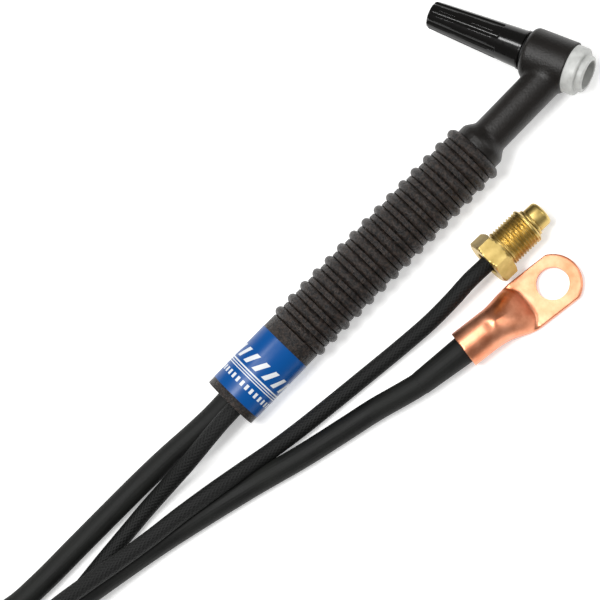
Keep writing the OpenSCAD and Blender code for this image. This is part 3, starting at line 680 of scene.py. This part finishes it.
def fluted(z, r, angle):
    """Cuts the flutes into the cap's side."""
    side_r = cap_base_r - (cap_base_r - cap_tip_r) * (z - cap_start) / cap_l
    turn = (angle * flute_count / (2 * math.pi) + 0.5) % 1 - 0.5
    off = turn * 2 * math.pi / flute_count * side_r
    cut_in = np.sqrt(np.maximum(flute_r ** 2 - off ** 2, 0)) - (flute_r - flute_depth)
    run = np.clip((z - cap_start - flute_start) / flute_run, 0, 1)
    run = run * run * (3 - 2 * run)
    outer = (r > side_r - 0.9) & (z > cap_start + 2)
    return z, np.where(outer, r - run * np.maximum(cut_in, 0), r)


lip_r, seal_seat_r, seal_seat_l = cap_base_r + 0.25, 7.35, 0.75
tip_round, tip_steps = 0.9, 6
cap_outline = [(cap_start + seal_seat_l, 0), (cap_start + seal_seat_l, seal_seat_r),
               (cap_start, seal_seat_r)]
cap_outline += [(cap_start, lip_r - 0.2), (cap_start + 0.2, lip_r), (cap_start + 0.9, lip_r)]
side_rows = set(np.linspace(1.05, cap_l - tip_round, 61).round(3))
side_rows |= {flute_start + 0.05 * k for k in range(9)}
for along in sorted(side_rows):
    cap_outline.append((cap_start + along, cap_base_r - (cap_base_r - cap_tip_r) * along / cap_l))
for k in range(1, tip_steps + 1):
    bend = math.pi / 2 * k / tip_steps
    cap_outline.append((cap_start + cap_l - tip_round * (1 - math.sin(bend)),
                        cap_tip_r - tip_round * (1 - math.cos(bend))))
cap_outline.append((cap_start + cap_l, 0))
cap = turned("back_cap_shell", cap_outline, head_centre, -nozzle, segments=256, shape=fluted, crease=38)
glossy, tree, shader = start_material("glossy_phenolic", "070605", 0.17, Specular_IOR_Level=0.32)
place = add_node(tree, "ShaderNodeTexCoord")
scuff_width = 2.0
scuff = add_node(tree, "ShaderNodeTexNoise", inputs={"Scale": 1 / (scuff_width * MM), "Detail": 5.0},
                 links={"Vector": place.outputs["Object"]})
gloss = add_node(tree, "ShaderNodeMapRange", inputs={"To Min": 0.12, "To Max": 0.24},
                 links={"Value": scuff.outputs["Fac"]})
tree.links.new(gloss.outputs[0], shader.inputs["Roughness"])
bump = add_node(tree, "ShaderNodeBump", inputs={"Strength": 0.04, "Distance": 0.0001},
                links={"Height": scuff.outputs["Fac"]})
tree.links.new(bump.outputs[0], shader.inputs["Normal"])
finish_piece(cap, glossy, "cap_plastic", "back_cap", "back_cap")

# Cap thread, core and sealing ring.
# The cap screws into the brass core with a fine right-hand thread on a turned brass stem, and a
# black rubber ring seals the gap between cap and head.
def threaded(start, end, pitch, depth, major):
    """A shape for turned(): a right-hand thread cut into the stretch between start and end."""
    def cut_thread(z, r, angle):
        phase = (z / pitch - angle / (2 * math.pi)) % 1
        crest = np.abs(phase * 2 - 1)
        fade = np.clip((z - start) / pitch, 0, 1) * np.clip((end - z) / pitch, 0, 1)
        outer = (r > major - 0.3) & (z > start) & (z < end)
        return z, np.where(outer, r - depth * fade * np.clip(1.25 * (1 - crest) - 0.1, 0, 1), r)
    return cut_thread


brass, tree, shader = start_material("turned_brass", "e8cd78", 0.36, metallic=1.0)
place = add_node(tree, "ShaderNodeTexCoord")
wear_width, mark_width, mark_length = 4.5, 0.38, 6.2
mark_scale = (1 / (mark_width * MM), 1 / (mark_length * MM), 1 / (mark_length * MM))
wear = add_node(tree, "ShaderNodeTexNoise", inputs={"Scale": 1 / (wear_width * MM), "Detail": 5.0},
                links={"Vector": place.outputs["Object"]})
tone = add_node(tree, "ShaderNodeValToRGB", links={"Fac": wear.outputs["Fac"]})
tone.color_ramp.elements[0].position = 0.3
tone.color_ramp.elements[0].color = linear("b89d58")
tone.color_ramp.elements[1].position = 0.7
tone.color_ramp.elements[1].color = linear("dac07b")
tree.links.new(tone.outputs[0], shader.inputs["Base Color"])
gloss = add_node(tree, "ShaderNodeMapRange", inputs={"To Min": 0.3, "To Max": 0.46},
                 links={"Value": wear.outputs["Fac"]})
tree.links.new(gloss.outputs[0], shader.inputs["Roughness"])
tool_place = add_node(tree, "ShaderNodeMapping", inputs={"Scale": mark_scale},
                      links={"Vector": place.outputs["Object"]})
tool_marks = add_node(tree, "ShaderNodeTexNoise", inputs={"Scale": 1.0, "Detail": 2.0},
                      links={"Vector": tool_place.outputs[0]})
bump = add_node(tree, "ShaderNodeBump", inputs={"Strength": 0.08, "Distance": 0.0001},
                links={"Height": tool_marks.outputs["Fac"]})
tree.links.new(bump.outputs[0], shader.inputs["Normal"])

stem_r, electrode_r, stem_l, stem_pitch, stem_thread_depth = 5.15, 2.6, 8.4, 0.794, 0.42
stem_end = cap_start - stem_l
stem_rows = [(stem_end + 0.1 * k, stem_r) for k in range(4, 91)]
stem_outline = [(stem_end, electrode_r), (stem_end, stem_r - 0.4)] + stem_rows
stem_outline += [(cap_start + 0.7, electrode_r)]
stem_thread = threaded(cap_start - 8.2, cap_start - 0.6, stem_pitch, stem_thread_depth, stem_r)
stem = turned("cap_stem", stem_outline, head_centre, -nozzle, segments=96, shape=stem_thread)
finish_piece(stem, brass, "brass_part", "back_cap", "back_cap_insert")

seal_rubber, tree, shader = start_material("moulded_seal_rubber", "121212", 0.5)
place = add_node(tree, "ShaderNodeTexCoord")
bloom_width = 1.25
bloom = add_node(tree, "ShaderNodeTexNoise", inputs={"Scale": 1 / (bloom_width * MM), "Detail": 3.0},
                 links={"Vector": place.outputs["Object"]})
gloss = add_node(tree, "ShaderNodeMapRange", inputs={"To Min": 0.4, "To Max": 0.65},
                 links={"Value": bloom.outputs["Fac"]})
tree.links.new(gloss.outputs[0], shader.inputs["Roughness"])

# Inner current and gas parts.
# Copper tube, brass block and barb, crimped strands and their insulation keep the shapes that they
# have in the model; drawn copper is duller and redder than the brass.
copper, tree, shader = start_material("pressed_copper", "e8a47c", 0.36, metallic=1.0)
place = add_node(tree, "ShaderNodeTexCoord")
stain_width = 8.3
dulled = add_node(tree, "ShaderNodeTexNoise",
                  inputs={"Scale": 1 / (stain_width * MM), "Detail": 6.0, "Roughness": 0.6},
                  links={"Vector": place.outputs["Object"]})
tone = add_node(tree, "ShaderNodeValToRGB", links={"Fac": dulled.outputs["Fac"]})
tone.color_ramp.elements[0].position = 0.3
tone.color_ramp.elements[0].color = linear("cf7d58")
tone.color_ramp.elements[1].position = 0.7
tone.color_ramp.elements[1].color = linear("f3ac88")
tree.links.new(tone.outputs[0], shader.inputs["Base Color"])
gloss = add_node(tree, "ShaderNodeMapRange", inputs={"To Min": 0.3, "To Max": 0.5},
                 links={"Value": dulled.outputs["Fac"]})
tree.links.new(gloss.outputs[0], shader.inputs["Roughness"])
bump = add_node(tree, "ShaderNodeBump", inputs={"Strength": 0.3, "Distance": 0.0003},
                links={"Height": dulled.outputs["Fac"]})
tree.links.new(bump.outputs[0], shader.inputs["Normal"])
for material, names in ((brass, ("head_core", "connector_block", "gas_barb", "torch_hose_ferrule",
                                 "fitting_ferrule")),
                        (copper, ("neck_tube", "torch_crimp_sleeve", "torch_strands", "lug_strands")),
                        (seal_rubber, ("back_cap_oring", "crimp_insulation"))):
    for name in names:
        frame["nodes"][name].data.materials.clear()
        frame["nodes"][name].data.materials.append(material)

# Gas fitting.
# A brass nut with a long outer thread, free to turn on a nipple whose domed nose seals in the
# regulator. Hexagon corners are chamfered on both sides, and the thread has flat crests.
hex_l, hex_half, thread_r, nut_l, nut_bore_r, land_r = 7.4, 9.2, 7.9375, 23.0, 5.3, 3.5
thread_pitch, thread_depth, undercut = 25.4 / 18, 0.78, 0.75
thread_from, thread_to = hex_l + 1.3, nut_l - 0.8
bore_end, thread_rows = 17.9, 120


def hexagon(z, r, angle):
    """Six flats, one facing up, with chamfered corners."""
    turn = (angle - math.pi / 2 + math.pi / 6) % (math.pi / 3) - math.pi / 6
    flat_r = hex_half / np.cos(turn)
    chamfer = hex_half + 0.1 + 1.7 * np.minimum(z, hex_l - z)
    outer = (r > thread_r + 0.3) & (z < hex_l + 0.01)
    z, r = z, np.where(outer, np.minimum(flat_r, np.maximum(chamfer, hex_half + 0.1)), r)
    return threaded(thread_from, nut_l - 1.0, thread_pitch, thread_depth, thread_r)(z, r, angle)


nut_outline = [(bore_end, nut_bore_r), (0.3, nut_bore_r), (0, nut_bore_r + 0.35), (0, hex_half)]
nut_outline += [(hex_l * k / 24, hex_half + 2) for k in range(25)]
nut_outline += [(hex_l, hex_half - 0.3), (hex_l, thread_r - undercut), (hex_l + 1.1, thread_r - undercut),
                (thread_from, thread_r)]
nut_outline += [(thread_from + (thread_to - thread_from) * k / thread_rows, thread_r)
                for k in range(1, thread_rows + 1)]
nut_outline += [(nut_l - 0.05, thread_r - undercut), (nut_l, thread_r - 0.9), (nut_l, land_r + 0.2),
                (nut_l - 0.2, land_r), (bore_end + 0.1, land_r)]
nut = turned("gas_nut_body", nut_outline, nut_start, nut_axis, segments=192, shape=hexagon, crease=30)
finish_piece(nut, brass, "brass_part", "gas_nut", "gas_nut")

gas_bore_r, stalk_r, collar_face, nipple_end = 1.4, 3.42, nut_l + 0.3, nut_l + 7.8
nose_outline = softened([(8.0, gas_bore_r), (8.0, 2.05), (14, 2.05), (14, 3.8), (15, 3.8), (15, stalk_r),
                         (collar_face, stalk_r), (collar_face, 6.2), (nut_l + 1.4, 6.2),
                         (nut_l + 1.4, 5.1), (nut_l + 1.9, 5.1), (nut_l + 1.9, 5.4), (nut_l + 6.3, 5.4),
                         (nut_l + 7.1, 5.0), (nut_l + 7.6, 4.1), (nipple_end, 3.0),
                         (nipple_end, gas_bore_r)], 0.2)
nose = turned("nipple_nose", nose_outline, nut_start, nut_axis, crease=40)
finish_piece(nose, brass, "brass_part", "torch", "gas_nipple")

# Cable lug and strain relief.
# A length of copper tube pressed flat at one end, its tang rounded and punched for the stud. The
# barrel is crimped on the strands with one dimple, and the rubber swells where it enters.
lug_hole = next(mount for mount in frame["record"]["mounts"] if mount["name"] == "lug_hole")
lug_yaw = math.radians(-8)
lug_hole_x, lug_r, lug_wall, barrel_l, tang_x = 44.3, 7.9, 2.0, 16.0, 31.8
tang_w, tang_t, hole_r, end_r, lug_bore_l = 22.0, 3.2, 6.75, 12.0, 17.4
crease_lead, dimple_x, dimple_l, dimple_w, dimple_depth = 5.5, 14.5, 1.8, 3.4, 0.45
lug_turn = Matrix.Rotation(lug_yaw, 3, "Z")
hole_spot = Vector((lug_hole["pos_m"][0], lug_hole["pos_m"][1], 0))
lug_start = hole_spot - lug_turn @ Vector((lug_hole_x * MM, 0, 0))
sides, steps = 72, 48
rows = []
for k in range(steps + 1):
    x = (tang_x + 2) * k / steps
    t = min(max((x - barrel_l + 1) / (tang_x - barrel_l - 1), 0), 1)
    half_w = lug_r + (tang_w / 2 - lug_r) * t * t * (3 - 2 * t)
    ring = []
    for j in range(sides):
        a = 2 * math.pi * j / sides
        c, s = math.cos(a), math.sin(a)
        pressed = min(max((x + crease_lead * abs(c) - barrel_l) / (tang_x - barrel_l), 0), 1) ** 1.5
        half_h = lug_r + (tang_t / 2 - lug_r) * pressed
        squareness = 2 + 5 * pressed
        y = math.copysign(abs(c) ** (2 / squareness), c) * half_w
        z = half_h + math.copysign(abs(s) ** (2 / squareness), s) * half_h
        dent = math.exp(-((x - dimple_x) / dimple_l) ** 2 - (y / dimple_w) ** 2) * dimple_depth
        ring.append((x, y, z - dent if s > 0 else z))
    rows.append(ring)
lug_shell = bmesh.new()
rings = [[lug_shell.verts.new(p) for p in ring] for ring in rows]
for low, high in zip(rings, rings[1:]):
    for j in range(sides):
        lug_shell.faces.new((low[j], low[(j + 1) % sides], high[(j + 1) % sides], high[j]))
lug_shell.faces.new(rings[0][::-1])
lug_shell.faces.new(rings[-1])
edge_half = tang_w / 2
corner_turn = math.asin(edge_half / end_r)
edge = [(tang_x - 2, -edge_half)]
edge += [(lug_hole_x + end_r * math.cos(a), end_r * math.sin(a))
         for a in np.linspace(-corner_turn, corner_turn, steps + 1)]
edge += [(tang_x - 2, edge_half)]
lower = [lug_shell.verts.new((x, y, 0)) for x, y in edge]
upper = [lug_shell.verts.new((x, y, tang_t)) for x, y in edge]
for j in range(len(edge)):
    n = (j + 1) % len(edge)
    lug_shell.faces.new((lower[j], lower[n], upper[n], upper[j]))
lug_shell.faces.new(lower[::-1])
lug_shell.faces.new(upper)
bmesh.ops.transform(lug_shell, matrix=Matrix.Scale(MM, 4), verts=lug_shell.verts)
bmesh.ops.recalc_face_normals(lug_shell, faces=lug_shell.faces)
lug_mesh = bpy.data.meshes.new("lug_body")
lug_shell.to_mesh(lug_mesh)
lug_shell.free()
lug = bpy.data.objects.new("lug_body", lug_mesh)
scene.collection.objects.link(lug)
lug_voxel = 0.33 * MM
voxels = lug.modifiers.new("voxels", "REMESH")
voxels.mode = "VOXEL"
voxels.voxel_size = lug_voxel
voxels.use_smooth_shade = True
melt = lug.modifiers.new("melt", "SMOOTH")
melt.factor = 0.5
melt.iterations = 4
applied(lug)
# The stud hole's axis is a hair off upright, because a turned shape finds its side from the upright.
cut_past, strand_bore_r, almost_up = -5, lug_r - lug_wall, (0.0001, 0, 1)
bore_outline = [(cut_past, 0), (cut_past, strand_bore_r), (lug_bore_l, strand_bore_r), (lug_bore_l, 0)]
barrel_bore = turned("barrel_bore", bore_outline, (0, 0, lug_r * MM), (1, 0, 0), segments=96)
stud_outline = softened([(cut_past, 0), (cut_past, hole_r), (10, hole_r), (10, 0)], 0.1)
stud_hole = turned("stud_hole", stud_outline, (lug_hole_x * MM, 0, 0), almost_up, segments=96)
for cutter in (barrel_bore, stud_hole):
    cut = lug.modifiers.new(cutter.name, "BOOLEAN")
    cut.operation = "DIFFERENCE"
    cut.object = cutter
    cut.solver = "EXACT"
applied(lug)
for cutter in (barrel_bore, stud_hole):
    bpy.data.objects.remove(cutter)
lug.data.transform(Matrix.Translation(lug_start) @ lug_turn.to_4x4())
lug.data.polygons.foreach_set("use_smooth", [True] * len(lug.data.polygons))
lug.data.set_sharp_from_angle(angle=math.radians(42))
finish_piece(lug, copper, "copper_part", "torch", "cable_lug")

relief_l, relief_in, relief_bore_r, relief_r = 22.0, 9, 4.75, 5.85
relief_outline = softened([(-relief_l, relief_bore_r), (-relief_l, 4.95), (-8, 5.55), (-1.2, relief_r),
                           (relief_in, relief_r), (relief_in, relief_bore_r)], 0.4)
lug_barrel_axis = lug_turn @ Vector((1, 0, 0))
relief_start = lug_start + Vector((0, 0, lug_r * MM))
relief = turned("lug_relief", relief_outline, relief_start, lug_barrel_axis, segments=96)
finish_piece(relief, jacket, "black_rubber", "torch", "lug_strain_relief")
